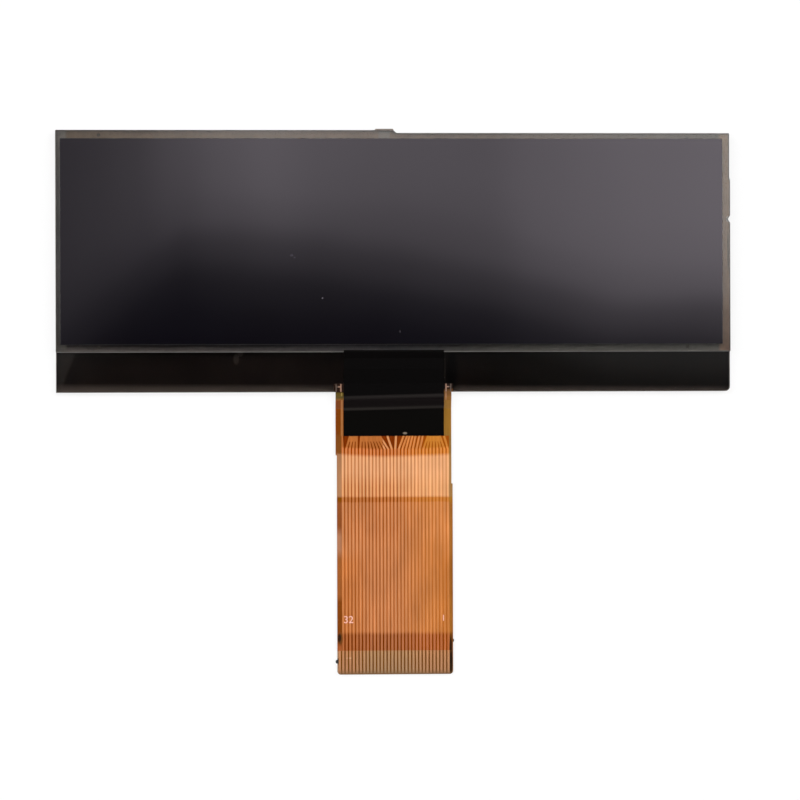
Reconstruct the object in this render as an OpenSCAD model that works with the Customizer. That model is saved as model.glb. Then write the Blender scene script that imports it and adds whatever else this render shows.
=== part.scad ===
// Bar-shaped chip-on-glass LCD module with a flat flexible tail.
// The display faces +Z, the contact ledge and the tail lie towards -Y, and the module rests on its back
// at z = 0.
// The origin is the middle of the rear glass outline, on the plane of the rear polariser's back face.

/* [Glass cell] */
// Width of both glasses
panel_w = 96; // [88:0.5:110]
// Height of the front glass
front_glass_h = 31.5; // [26:0.1:45]
// Depth of the contact ledge that the rear glass has below the front glass
ledge_h = 5.7; // [5.2:0.1:8]
// Thickness of each glass
glass_t = 0.7; // [0.5:0.05:1.1]
// Gap between the two glasses
cell_gap = 0.01; // [0.005:0.001:0.03]
// Radius ground on the ledge's right-hand corner
ledge_corner_r = 0.7; // [0.2:0.1:1.5]
// How far the glasses' upper edge steps down to the right of the end-seal bead
top_drop = 0.4; // [0.1:0.05:0.45]

/* [Polarisers] */
// Thickness of each polariser film with its adhesive
polariser_t = 0.2; // [0.12:0.01:0.3]
// Glass left bare to the left of the front polariser
bare_left = 0.65; // [0.3:0.05:2]
// Glass left bare to the right of the front polariser
bare_right = 1.15; // [0.3:0.05:2]
// Glass left bare above the front polariser
bare_top = 1.2; // [0.6:0.05:2]
// Glass left bare below the front polariser
bare_bottom = 1.05; // [0.3:0.05:2]
// Glass left bare all round the rear polariser
rear_bare = 0.2; // [0.1:0.05:1]
// Thickness of the black shade film behind the ledge
shade_t = 0.1; // [0.04:0.01:0.12]

/* [Cell seal] */
// Width of the epoxy seal line
seal_w = 1.2; // [0.7:0.1:1.4]
// Distance from the glass edge to the seal line
seal_inset = 0.1; // [0.05:0.05:0.5]
// Width of the fill port in the top seal
port_w = 1.6; // [1:0.1:2.4]
// Place of the fill port across the panel
port_x = -1.4; // [-20:0.1:20]
// Width of the cured bead that closes the port
bead_w = 2.6; // [2.5:0.1:4]
// How far the bead stands out of the glass edge
bead_out = 0.2; // [0.15:0.05:0.6]
// Height of the bead up the two glass edges
bead_h = 1.2; // [0.8:0.05:1.3]
// Diameter of each conductive transfer dot
dot_d = 0.5; // [0.3:0.05:0.6]
// Distance of each transfer dot from the seal's end, along the seal
dot_from_end = 6; // [3:0.5:12]

/* [Driver chip] */
// Length of the driver chip, along the ledge
chip_l = 13.2; // [8:0.1:13.8]
// Width of the driver chip
chip_w = 1.5; // [0.9:0.1:1.8]
// Thickness of the driver chip
chip_t = 0.4; // [0.25:0.05:0.5]
// Space between the front glass and the chip
chip_space = 0.9; // [0.6:0.1:1.1]
// Thickness of the conductive bonding film
bond_t = 0.02; // [0.01:0.005:0.03]
// How far the bonding film shows round the chip
bond_lap = 0.2; // [0.05:0.05:0.3]

/* [Tail plies] */
// Thickness of the base film
base_t = 0.03; // [0.02:0.005:0.05]
// Thickness of each copper layer
copper_t = 0.02; // [0.01:0.005:0.035]
// Thickness of a coverlay above its copper
cover_t = 0.04; // [0.025:0.005:0.06]
// Height of the ridge that the coverlay shows over each track
ridge_h = 0.01; // [0.005:0.005:0.02]
// Thickness of the stiffener behind the contact end
stiffener_t = 0.2; // [0.1:0.025:0.25]
// Thickness of the glue under the stiffener
glue_t = 0.05; // [0.025:0.005:0.06]

/* [Tail outline] */
// How far the tail reaches past the ledge's edge
tail_reach = 40.2; // [32:0.1:60]
// Depth of the head that is bonded onto the ledge
head_lap = 1.2; // [0.8:0.1:1.4]
// How far the head is wider than the tail, on each side
head_flare = 0.25; // [0:0.05:0.6]
// Film left beside the outermost fingers' centres
edge_margin = 0.5; // [0.4:0.05:0.8]
// How far the row of fingers lies left of the middle of the contact end
row_shift = 0.16; // [0:0.01:0.2]
// How far the tail's upper part was cut to the left of its contact end
upper_shift = 0.17; // [0:0.01:0.18]
// Radius of the two corners at the contact end
end_corner_r = 0.5; // [0.2:0.1:1]
// Length of the stiffener
stiffener_l = 6; // [4.5:0.1:8]
// Start of the thinner bending window in the rear coverlay, from the ledge's edge
window_start = 9.0; // [8.5:0.1:11]
// Length of the bending window
window_l = 5.8; // [3:0.1:8]

/* [Tail bend] */
// Inner radius of the two bends beside the ledge
bend_r = 1.0; // [0.6:0.1:1.4]
// Angle at which the tail runs down between the bends
bend_angle = 22; // [16:1:28]
// Straight stretch between the ledge's edge and the first bend
bend_start = 0.5; // [0.3:0.05:0.8]
// Share of the slope that the front coverlay leaves bare
bare_slope = 0.25; // [0.15:0.05:0.5]

/* [Contacts and tracks] */
// Number of contact fingers
finger_count = 32; // [31:1:36]
// Distance between finger centres
finger_pitch = 0.5; // [0.45:0.01:0.55]
// Width of each finger and track
track_w = 0.3; // [0.22:0.01:0.34]
// Length of the bare fingers
finger_l = 3.4; // [2.5:0.1:4]
// Film left beyond the fingers' tips
tip_margin = 0.15; // [0.05:0.05:0.4]
// Length over which the tracks fan out below the tape
fan_l = 1.9; // [1.4:0.1:2.3]
// Length of the solid copper areas that show below the tape
pour_l = 0.8; // [0.4:0.1:1.2]
// Width of each track on the tail's rear side
rear_track_w = 0.2; // [0.12:0.01:0.24]
// Distance between rear tracks that share one copper area
rear_pitch = 0.42; // [0.36:0.01:0.5]
// Distance of the rear tracks' ends from the edge of the head
rear_stop = 0.1; // [0.05:0.05:0.3]
// Diameter of each plated hole
via_d = 0.12; // [0.08:0.01:0.16]
// Distance from the tape's end to the nearer row of plated holes
via_lead = 1.2; // [1:0.1:1.3]
// Distance between the two rows of plated holes
via_space = 0.8; // [0.6:0.1:0.9]
// How far the front copper runs on past the farther row
via_lap = 0.4; // [0.2:0.1:0.5]
// Length of each alignment mark
mark_l = 1.1; // [0.7:0.05:1.15]
// Width of each alignment mark
mark_w = 0.85; // [0.7:0.05:0.95]
// Distance of each alignment mark from the head's side edge
mark_inset = 0.25; // [0.05:0.05:0.25]
// Width of the lines of an alignment mark
mark_line = 0.18; // [0.1:0.02:0.24]

/* [Cover tape] */
// Width of the black tape over the chip and the tail's head
tape_w = 14.3; // [13.9:0.1:14.6]
// How far the tape was laid to the left of the contact end's middle
tape_shift = 0.12; // [0:0.01:0.15]
// Thickness of the tape
tape_t = 0.08; // [0.04:0.01:0.12]
// How far the tape laps onto the front glass
tape_lap = 0.25; // [0.1:0.05:0.8]
// How far the tape reaches past the ledge's edge
tape_reach = 6.25; // [5.6:0.05:6.8]

/* [Hidden] */
$fn = 48;

// Outline of the glasses
panel_h = front_glass_h + ledge_h;
top_y = panel_h / 2;
step_y = top_y - front_glass_h;
edge_y = -panel_h / 2;
drop_x = port_x + bead_w / 2;

// Levels of the stack, from the back upwards
ledge_z = polariser_t + glass_t;
front_z = ledge_z + cell_gap;
front_top_z = front_z + glass_t;
chip_z = ledge_z + bond_t;
chip_top_z = chip_z + chip_t;

// Heights of the tail's plies above and below the underside of its base film
cover_h = base_t + copper_t + cover_t;
rear_h = copper_t + cover_t;
head_z = ledge_z + bond_t + copper_t;
run_z = stiffener_t + glue_t + rear_h;

// Outline of the tail
tail_w = (finger_count - 1) * finger_pitch + 2 * edge_margin;
head_w = tail_w + 2 * head_flare;
head_y = edge_y + head_lap;
end_y = edge_y - tail_reach;
tape_y = edge_y - tape_reach;
bare_y = end_y + finger_l;
fan_y = tape_y - fan_l;
tip_y = end_y + tip_margin;

// The two places where the outline steps from the upper part to the lower one
left_step_y = edge_y - window_start;
right_step_y = left_step_y - 0.7 * window_l;

// The slope between the two bends, which takes the tail from the ledge down to its flat run
BEND_STEPS = 4;
slope_drop = head_z - run_z - 2 * bend_r * (1 - cos(bend_angle));
slope_run = slope_drop / tan(bend_angle);
crest_y = edge_y - bend_start;
foot_y = crest_y - 2 * bend_r * sin(bend_angle) - slope_run;

// The plated holes stand in two rows under the tape, and both layers of copper end past them
via_y = tape_y + via_lead;
copper_y = via_y + via_space + via_lap;
rear_y = via_y - rear_track_w;

// Shapes that cut or meet a whole thickness are this much taller than the tail
REACH = 4;

// Fingers for which the two tables below give a track, and more fingers get straight ones
DRAWN_COUNT = 32;
// Tracks that stay single below the tape: finger number, then how far the track shifts towards
// the tape, in finger pitches
SINGLES = [[1, -0.2], [15, -1.25], [16, 0.2], [17, 1.4], [18, 1.35], [19, 1.1], [20, 0.9],
    [21, 0.8], [22, 0.9], [23, 0.85], [31, -1.1]];
// Copper areas that join several tracks: first and last finger, then the shifts of their two sides
POURS = [[2, 5, 1.1, 0], [6, 14, 0.3, -2.4], [24, 30, 1.3, -1.3]];

function reversed(list) = [for (i = [len(list) - 1:-1:0]) list[i]];
function finger_x(i) = (i - (finger_count - 1) / 2) * finger_pitch - row_shift;
function shifted_x(i, shift) = finger_x(i) + shift * finger_pitch;

// Points of the glasses' stepped upper edge, from left to right, drawn in from all sides by inset
function top_points(inset) = let (x = panel_w / 2 - inset, y = top_y - inset)
    [[-x, y], [drop_x, y], [drop_x + top_drop, y - top_drop], [x, y - top_drop]];

// Points of the bends at height h over the base film's underside, as [y, z]
function crest_points(h) = [for (i = [0:BEND_STEPS]) let (t = bend_angle * i / BEND_STEPS)
    [crest_y - (bend_r + h) * sin(t), head_z - bend_r + (bend_r + h) * cos(t)]];
function foot_points(h) = [for (i = [BEND_STEPS:-1:0]) let (t = bend_angle * i / BEND_STEPS)
    [foot_y + (bend_r - h) * sin(t), run_z + bend_r - (bend_r - h) * cos(t)]];
function slope_point(h, share) = let (a = crest_points(h)[BEND_STEPS], b = foot_points(h)[0])
    a + share * (b - a);
// A ply's face from the head to the run, and one that only starts on the slope
function full_face(h, from_y, to_y) = concat([[from_y, head_z + h]], crest_points(h),
    foot_points(h), [[to_y, run_z + h]]);
function slope_face(h, share, to_y) = concat([slope_point(h, share)], foot_points(h),
    [[to_y, run_z + h]]);

// Side profile given as [y, z] points, made as wide as w across the tail
module across(w, points) {
    rotate([90, 0, 90])
        linear_extrude(w, center = true)
            polygon(points);
}

module ply(w, h0, h1, from_y, to_y) {
    across(w, concat(full_face(h0, from_y, to_y), reversed(full_face(h1, from_y, to_y))));
}

module plate(x0, x1, y0, y1, z0, z1) {
    translate([x0, y0, z0])
        cube([x1 - x0, y1 - y0, z1 - z0]);
}

// Plan of the two-glass cell, drawn in from all sides by inset
module cell_plan(inset) {
    x = panel_w / 2 - inset;
    low = step_y + inset;
    polygon(concat(top_points(inset), [[x, low], [-x, low]]));
}

module rear_polariser() {
    color([0.33, 0.32, 0.31])
        linear_extrude(polariser_t)
            cell_plan(rear_bare);
}

// Outline of the rear glass, with its right-hand ledge corner ground round
module rear_glass_outline() {
    x = panel_w / 2;
    r = ledge_corner_r;
    difference() {
        polygon(concat(top_points(0), [[x, edge_y], [-x, edge_y]]));
        translate([x - r, edge_y + r])
            difference() {
                translate([0, -r - 1])
                    square(r + 1);
                circle(r);
            }
    }
}

module rear_glass() {
    color([0.75, 0.82, 0.8, 0.5])
        translate([0, 0, polariser_t])
            linear_extrude(glass_t)
                rear_glass_outline();
}

// The black film that keeps light out of the ledge from behind
module ledge_shade() {
    color([0.05, 0.05, 0.05])
        translate([0, 0, polariser_t - shade_t])
            linear_extrude(shade_t)
                intersection() {
                    rear_glass_outline();
                    translate([-panel_w, edge_y - 1])
                        square([2 * panel_w, ledge_h + 1]);
                }
}

// Plan of the room inside the seal line
module seal_inside() {
    cell_plan(seal_inset + seal_w);
}

// Centres of the transfer dots, in the middle of the seal line near its corners
module at_dots() {
    x = panel_w / 2 - seal_inset - dot_from_end;
    low = step_y + seal_inset + seal_w / 2;
    high = top_y - seal_inset - seal_w / 2;
    for (place = [[-x, low], [x, low], [-x, high], [x, high - top_drop]])
        translate(place)
            children();
}

module perimeter_seal() {
    color([0.45, 0.43, 0.4])
        translate([0, 0, ledge_z])
            linear_extrude(cell_gap)
                difference() {
                    cell_plan(seal_inset);
                    seal_inside();
                    at_dots() circle(d = dot_d);
                    translate([port_x - port_w / 2, 0])
                        square([port_w, panel_h]);
                }
}

module transfer_dots() {
    color([0.8, 0.78, 0.7])
        translate([0, 0, ledge_z])
            linear_extrude(cell_gap)
                at_dots() circle(d = dot_d);
}

module liquid_crystal() {
    color([0.12, 0.12, 0.15])
        translate([0, 0, ledge_z])
            linear_extrude(cell_gap)
                seal_inside();
}

// Plug in the fill port, with the bead that swells out over both glass edges
module end_seal() {
    plan_r = (pow(bead_w / 2, 2) + pow(bead_out, 2)) / (2 * bead_out);
    side_r = (pow(bead_h / 2, 2) + pow(bead_out, 2)) / (2 * bead_out);
    mid_z = ledge_z + cell_gap / 2;
    plug_y = top_y - seal_inset - seal_w;
    color([0.5, 0.48, 0.45]) {
        plate(port_x - port_w / 2, port_x + port_w / 2, plug_y, top_y, ledge_z, front_z);
        intersection() {
            plate(port_x - bead_w, port_x + bead_w, top_y, top_y + 1, 0, REACH);
            translate([port_x, top_y + bead_out - plan_r, 0])
                cylinder(r = plan_r, h = REACH);
            translate([port_x - bead_w, top_y + bead_out - side_r, mid_z])
                rotate([0, 90, 0])
                    cylinder(r = side_r, h = 2 * bead_w);
        }
    }
}

module front_glass() {
    color([0.75, 0.82, 0.8, 0.5])
        translate([0, 0, front_z])
            linear_extrude(glass_t)
                cell_plan(0);
}

module front_polariser() {
    x = panel_w / 2;
    color([0.1, 0.1, 0.12])
        plate(-x + bare_left, x - bare_right, step_y + bare_bottom, top_y - bare_top,
            front_top_z, front_top_z + polariser_t);
}

module driver_chip() {
    high = step_y - chip_space;
    color([0.2, 0.2, 0.22])
        plate(-chip_l / 2, chip_l / 2, high - chip_w, high, chip_z, chip_top_z);
}

module chip_bond() {
    high = step_y - chip_space;
    x = chip_l / 2 + bond_lap;
    color([0.5, 0.45, 0.35])
        plate(-x, x, high - chip_w - bond_lap, high + bond_lap, ledge_z, chip_z);
}

// Film that joins the tail's rear tracks to the ledge, squeezed in between them
module tail_bond() {
    color([0.5, 0.45, 0.35])
        difference() {
            translate([-upper_shift, 0, 0])
                plate(-head_w / 2, head_w / 2, edge_y, head_y, ledge_z, head_z);
            rear_tracks();
        }
}

// Plan of the tail: the wider head, the run with its two steps, and the rounded corners
module tail_plan() {
    x = tail_w / 2;
    r = end_corner_r;
    translate([-head_w / 2 - upper_shift, edge_y])
        square([head_w, head_lap]);
    translate([-x - upper_shift, left_step_y])
        square([tail_w, edge_y - left_step_y]);
    translate([-x, right_step_y])
        square([tail_w - upper_shift, left_step_y - right_step_y]);
    translate([-x, end_y + r])
        square([tail_w, right_step_y - end_y - r]);
    translate([-x + r, end_y])
        square([tail_w - 2 * r, r]);
    for (side = [-1, 1])
        translate([side * (x - r), end_y + r])
            circle(r);
}

module base_film() {
    color([0.78, 0.45, 0.12])
        difference() {
            intersection() {
                ply(head_w + 2 * upper_shift, 0, base_t, head_y, end_y);
                linear_extrude(REACH)
                    tail_plan();
            }
            plated_holes();
        }
}

// One track from its finger tip up to the fan, and on from its place at the tape to far_y
module track(i, tape_x, far_y) {
    x = finger_x(i);
    w = track_w / 2;
    polygon([[x - w, tip_y], [x + w, tip_y], [x + w, fan_y], [tape_x + w, tape_y],
        [tape_x + w, far_y], [tape_x - w, far_y], [tape_x - w, tape_y], [x - w, fan_y]]);
}

// Places of a copper area's first and last track at the tape
function pour_first(p) = shifted_x(p[0], p[2]);
function pour_last(p) = shifted_x(p[1], p[3]);

// The tracks that run out of a solid copper area, and the area itself between their middles
module pour(p) {
    first = pour_first(p);
    last = pour_last(p);
    step = (last - first) / (p[1] - p[0]);
    share = pour_l / fan_l;
    for (i = [p[0]:p[1]])
        track(i, first + (i - p[0]) * step, copper_y);
    polygon([[first, copper_y], [first, tape_y],
        [first + (finger_x(p[0]) - first) * share, tape_y - pour_l],
        [last + (finger_x(p[1]) - last) * share, tape_y - pour_l],
        [last, tape_y], [last, copper_y]]);
}

// Plan of the front copper that lies in the flat run
module track_plan() {
    pad_y = bare_y + tip_margin;
    translate([finger_x(0) - track_w / 2, tip_y])
        square([track_w, pad_y - tip_y]);
    for (s = SINGLES)
        if (s[0] < finger_count && s[0] > 1)
            track(s[0], shifted_x(s[0], s[1]), copper_y);
    for (i = [DRAWN_COUNT:1:finger_count - 1])
        track(i, finger_x(i), copper_y);
    for (p = POURS)
        pour(p);
}

// The outermost track runs on beside the tape, up the slope
module edge_track() {
    s = SINGLES[0];
    h1 = base_t + copper_t;
    intersection() {
        across(head_w, concat(slope_face(base_t, bare_slope, end_y),
            reversed(slope_face(h1, bare_slope, end_y))));
        linear_extrude(REACH)
            track(s[0], shifted_x(s[0], s[1]), edge_y);
    }
}

// H-shaped mark on one side of the head, which lines the tail up with the ledge
module alignment_mark() {
    x0 = head_w / 2 - mark_inset - mark_w;
    y0 = edge_y + (head_lap - mark_l) / 2;
    translate([x0, y0])
        square([mark_line, mark_l]);
    translate([x0 + mark_w - mark_line, y0])
        square([mark_line, mark_l]);
    translate([x0, y0 + (mark_l - mark_line) * 0.65])
        square([mark_w, mark_line]);
}

module front_copper() {
    color([0.75, 0.55, 0.36]) {
        translate([0, 0, run_z + base_t])
            linear_extrude(copper_t)
                track_plan();
        edge_track();
        translate([-upper_shift, 0, head_z + base_t])
            for (side = [0, 1])
                mirror([side, 0, 0])
                    linear_extrude(copper_t)
                        alignment_mark();
    }
}

// Places of the rear tracks: one for each single track, and a few for each copper area
function area_xs(p) = let (room = pour_last(p) - pour_first(p), n = floor(room / rear_pitch) + 1)
    [for (k = [0:n - 1]) pour_first(p) + room / 2 + (k - (n - 1) / 2) * rear_pitch];
rear_xs = concat([for (s = SINGLES) if (s[0] < finger_count) shifted_x(s[0], s[1])],
    [for (p = POURS) each area_xs(p)]);

module rear_tracks() {
    intersection() {
        ply(head_w, -copper_t, 0, head_y, rear_y);
        linear_extrude(REACH)
            for (x = rear_xs)
                translate([x - rear_track_w / 2, rear_y])
                    square([rear_track_w, head_y - rear_stop - rear_y]);
    }
}

// Barrels of the plated holes, alternating between the two rows
module plated_holes() {
    for (k = [0:len(rear_xs) - 1])
        translate([rear_xs[k], via_y + (k % 2) * via_space, run_z])
            cylinder(d = via_d, h = base_t);
}

module rear_copper() {
    color([0.75, 0.5, 0.3]) {
        rear_tracks();
        plated_holes();
    }
}

// Clear amber film and glue over the front tracks, which swells a little over each of them
module front_coverlay() {
    color([0.85, 0.5, 0.2, 0.6]) {
        difference() {
            intersection() {
                across(tail_w + 2 * upper_shift, concat(slope_face(base_t, bare_slope, bare_y),
                    reversed(slope_face(cover_h, bare_slope, bare_y))));
                linear_extrude(REACH)
                    tail_plan();
            }
            front_copper();
        }
        translate([0, 0, run_z + cover_h])
            linear_extrude(ridge_h)
                intersection() {
                    union() {
                        track_plan();
                        track(1, shifted_x(1, SINGLES[0][1]), tape_y);
                    }
                    intersection() {
                        tail_plan();
                        translate([-tail_w, bare_y])
                            square([2 * tail_w, tape_y - bare_y]);
                    }
                }
    }
}

module rear_coverlay_head() {
    color([0.8, 0.48, 0.18])
        difference() {
            translate([-upper_shift, 0, 0])
                ply(tail_w, -rear_h, 0, edge_y - bend_start / 2, left_step_y);
            rear_tracks();
        }
}

// Plan of the tail's last stretch, from a given line to the contact end
module tail_end_plan(from_y) {
    intersection() {
        tail_plan();
        translate([-tail_w, end_y])
            square([2 * tail_w, from_y - end_y]);
    }
}

module rear_coverlay_run() {
    color([0.8, 0.48, 0.18])
        translate([0, 0, run_z - rear_h])
            linear_extrude(rear_h)
                tail_end_plan(edge_y - window_start - window_l);
}

module stiffener_glue() {
    color([0.55, 0.35, 0.2])
        translate([0, 0, stiffener_t])
            linear_extrude(glue_t)
                tail_end_plan(end_y + stiffener_l);
}

module stiffener() {
    color([0.55, 0.33, 0.12])
        linear_extrude(stiffener_t)
            tail_end_plan(end_y + stiffener_l);
}

// Underside of the tape: over the glass edge, the chip and the head, then down with the tail
function tape_face(t) = concat(
    [[step_y + tape_lap, front_top_z + t], [step_y, front_top_z + t]],
    [[step_y - chip_space, chip_top_z + t], [step_y - chip_space - chip_w, chip_top_z + t]],
    [[head_y, head_z + base_t + t]],
    crest_points(base_t + t),
    [slope_point(base_t + t, bare_slope * (t > 0 ? 0.4 : 1))],
    slope_face(cover_h + t, bare_slope, tape_y));

module cover_tape() {
    color([0.05, 0.05, 0.05])
        translate([-tape_shift, 0, 0])
            across(tape_w, concat(tape_face(0), reversed(tape_face(tape_t))));
}

rear_polariser();
rear_glass();
perimeter_seal();
liquid_crystal();
transfer_dots();
end_seal();
front_glass();
front_polariser();
ledge_shade();
driver_chip();
chip_bond();
tail_bond();
base_film();
front_copper();
rear_copper();
front_coverlay();
rear_coverlay_head();
rear_coverlay_run();
stiffener_glue();
stiffener();
cover_tape();
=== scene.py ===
# %% [markdown]
# # A bar display with its flat tail
# A bar-shaped liquid crystal display is a sandwich: two sheets of glass with a thin liquid between
# them, a polarising film on each side, and a flexible printed circuit that brings the signals in.
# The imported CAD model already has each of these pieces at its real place. This lesson loads it as a
# fixed frame, makes a few pieces again with finer shapes, and gives each surface its finish.

# %% Load the frame
import math

import bmesh
import bpy
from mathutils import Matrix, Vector


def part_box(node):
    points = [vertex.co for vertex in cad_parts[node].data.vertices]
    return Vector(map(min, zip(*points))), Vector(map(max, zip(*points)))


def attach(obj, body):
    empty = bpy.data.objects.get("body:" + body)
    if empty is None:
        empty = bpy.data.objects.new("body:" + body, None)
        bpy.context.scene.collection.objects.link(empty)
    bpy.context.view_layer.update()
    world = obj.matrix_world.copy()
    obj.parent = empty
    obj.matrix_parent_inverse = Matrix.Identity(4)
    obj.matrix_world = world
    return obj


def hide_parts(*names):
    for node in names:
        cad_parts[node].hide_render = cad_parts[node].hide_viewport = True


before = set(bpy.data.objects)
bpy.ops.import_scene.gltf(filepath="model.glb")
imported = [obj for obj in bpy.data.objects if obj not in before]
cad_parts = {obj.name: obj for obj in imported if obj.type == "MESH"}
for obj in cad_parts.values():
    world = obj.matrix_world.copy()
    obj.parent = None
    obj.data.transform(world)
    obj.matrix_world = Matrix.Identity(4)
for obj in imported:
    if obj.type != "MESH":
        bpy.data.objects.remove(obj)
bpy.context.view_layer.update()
MM = 0.001
print("CAD nodes:", ", ".join(sorted(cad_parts)))

# %% [markdown]
# ## The camera
# The object lies flat on its back and is seen from almost straight above. The camera stands half a
# metre over it with a long lens, so that the panel keeps its right angles and its edge faces
# hardly show.

# %% Set the camera
camera = bpy.data.objects.new("camera", bpy.data.cameras.new("camera"))
bpy.context.collection.objects.link(camera)
camera.location = Vector((-24.69, -21.0, 500)) * MM
camera.rotation_euler = [math.radians(angle) for angle in (0.152, -2.918, -0.177)]
camera.data.lens = 158.09
camera.data.clip_start = 0.01
camera.data.clip_end = 20
bpy.context.scene.camera = camera
print("camera height in mm:", round(camera.location.z / MM), "lens:", camera.data.lens)

# %% [markdown]
# ## Colours and nodes
# A hex code is what an image editor shows, on the sRGB curve. A shader works with light, which is
# linear, so one function turns the code into the numbers that a socket takes. A second fills a
# node's sockets, and a third adds a node that way. The fourth starts a material, and gives the
# position on the piece in millimetres, so that each pattern's scale can be read as a real size.
# The last one puts a material on a CAD node.
#
# A socket goes by its name, or by its number where a node has several of one name. Inputs 1 and 2
# of a Map Range node are the two ends that it reads, and 3 and 4 are what they become. Inputs 6
# and 7 of a Mix node are its colours, and its output 2 is the mixed one.


# %% Helpers for materials
def linear(code):
    """An sRGB hex colour as the linear colour that a shader socket takes."""
    shares = [int(code[i:i + 2], 16) / 255 for i in (1, 3, 5)]
    return [c / 12.92 if c <= 0.04045 else ((c + 0.055) / 1.055) ** 2.4 for c in shares] + [1.0]


def fill(node, inputs):
    """Sets a node's sockets, each by a value, a hex colour, or a link from another node's socket."""
    for name, value in inputs.items():
        socket = node.inputs[name]
        if isinstance(value, bpy.types.NodeSocket):
            node.id_data.links.new(value, socket)
        elif isinstance(value, str):
            socket.default_value = linear(value)
        else:
            socket.default_value = value


def add_node(tree, kind, inputs, output=0, **settings):
    """Adds a node with its settings and its sockets filled, and gives the output to link on."""
    node = tree.nodes.new(kind)
    for name, value in settings.items():
        setattr(node, name, value)
    fill(node, inputs)
    return node.outputs[output]


def new_material(name):
    """A new material, its tree, its surface shader and the place on the piece in millimetres."""
    material = bpy.data.materials.new(name)
    material.use_nodes = True
    tree = material.node_tree
    place = add_node(tree, "ShaderNodeTexCoord", {}, output="Object")
    in_mm = add_node(tree, "ShaderNodeVectorMath", {0: place, "Scale": 1 / MM}, operation="SCALE")
    return material, tree, tree.nodes["Principled BSDF"], in_mm


def dress(node, material):
    """Gives a CAD node its finish."""
    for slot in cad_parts[node].material_slots:
        slot.material = material
    print(node, "is dressed in", material.name)


# %% [markdown]
# A surface that changes from place to place needs three patterns again and again: a colour looked
# up by a distance, a second colour laid over the first past some line, and small spots. Each of the
# next helpers builds one of these from a few nodes.


# %% Helpers for patterns
def look_up(tree, value, stops, low, high, interpolation="LINEAR"):
    """A colour looked up by a number, from stops that give a place and a hex colour or a grey level."""
    share = add_node(tree, "ShaderNodeMapRange", {0: value, 1: low, 2: high, 3: 0.0, 4: 1.0})
    colour = add_node(tree, "ShaderNodeValToRGB", {0: share})
    ramp = colour.node.color_ramp
    ramp.interpolation = interpolation
    while len(ramp.elements) < len(stops):
        ramp.elements.new(1.0)
    for element, (place, level) in zip(ramp.elements, stops):
        element.position = (place - low) / (high - low)
        element.color = linear(level) if isinstance(level, str) else (level, level, level, 1)
    return colour


def lay_over(tree, under, over, value, start, end):
    """Lays a colour over another: it starts to show where the value is start, and covers from end on."""
    cover = add_node(tree, "ShaderNodeMapRange", {0: value, 1: start, 2: end, 3: 0.0, 4: 1.0})
    return add_node(tree, "ShaderNodeMix", {0: cover, 6: under, 7: over}, output=2, data_type="RGBA")


def spotted(tree, in_mm, colour, spot_colour, spots):
    """Lays a colour over another in ovals, each given as its middle and its half widths in mm."""
    for x, y, half_x, half_y in spots:
        away = add_node(tree, "ShaderNodeVectorMath", {0: in_mm, 1: (x, y, 0)}, operation="SUBTRACT")
        shaped = add_node(tree, "ShaderNodeVectorMath", {0: away, 1: (1 / half_x, 1 / half_y, 0)},
                          operation="MULTIPLY")
        far = add_node(tree, "ShaderNodeVectorMath", {0: shaped}, output="Value", operation="LENGTH")
        colour = lay_over(tree, colour, spot_colour, far, 1.0, 0.6)
    return colour


# %% [markdown]
# Most of these surfaces are smooth films, and what keeps them from looking painted is small: a
# slow drift of tone over a few millimetres, and a very fine unevenness. The first two helpers below
# make these, and the third gives both to a plain film. Its grain is drawn coarser than the real
# one, which is too fine for the picture. The last two shake a tone a little: in small grains, and
# in long faint streaks along the tail, as rolled copper and drawn film have. Most values of a
# noise lie between NOISE_LOW and NOISE_HIGH.


# %% Helpers for films
NOISE_LOW, NOISE_HIGH = 0.3, 0.7


def drifting(tree, in_mm, dark, light, patch_mm, detail=3.0, roughness=0.5):
    """A tone that drifts between two colours in patches of a given size."""
    patches = add_node(tree, "ShaderNodeTexNoise", {
        "Vector": in_mm, "Scale": 1 / patch_mm, "Detail": detail, "Roughness": roughness})
    return lay_over(tree, dark, light, patches, NOISE_LOW, NOISE_HIGH)


def uneven(tree, in_mm, width_mm, depth_mm, strength, detail=2.0):
    """A normal that wavers as if the face rose and fell over a given width by a given depth."""
    height = add_node(tree, "ShaderNodeTexNoise", {
        "Vector": in_mm, "Scale": 1 / width_mm, "Detail": detail})
    return add_node(tree, "ShaderNodeBump", {
        "Height": height, "Strength": strength, "Distance": depth_mm * MM})


def mottled(name, dark, light, patch_mm, roughness, bump_mm=0.0, grain_mm=0.3, **sockets):
    """A film or sheet whose tone drifts between two colours in patches of a given size."""
    material, tree, surface, in_mm = new_material(name)
    tone = drifting(tree, in_mm, dark, light, patch_mm, roughness=0.55)
    fill(surface, {"Base Color": tone, "Roughness": roughness, **sockets})
    if bump_mm:
        fill(surface, {"Normal": uneven(tree, in_mm, grain_mm, bump_mm, strength=0.4)})
    print(name, "patches of", patch_mm, "mm, roughness", roughness)
    return material


def grained(tree, place, colour, width, depth, detail=2.0):
    """Darkens and lightens a colour by a share of it, in grains as wide as a given length."""
    noise = add_node(tree, "ShaderNodeTexNoise", {"Vector": place, "Scale": 1 / width, "Detail": detail})
    level = add_node(tree, "ShaderNodeMapRange", {
        0: noise, 1: NOISE_LOW, 2: NOISE_HIGH, 3: 1 - depth, 4: 1 + depth})
    return add_node(tree, "ShaderNodeVectorMath", {0: colour, "Scale": level}, operation="SCALE")


def streaked(tree, in_mm, colour, width_mm, length_mm, depth):
    """Darkens and lightens a colour in streaks along the tail."""
    drawn = add_node(tree, "ShaderNodeVectorMath", {0: in_mm, 1: (1 / width_mm, 1 / length_mm, 0)},
                     operation="MULTIPLY")
    return grained(tree, drawn, colour, 1.0, depth)


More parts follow.
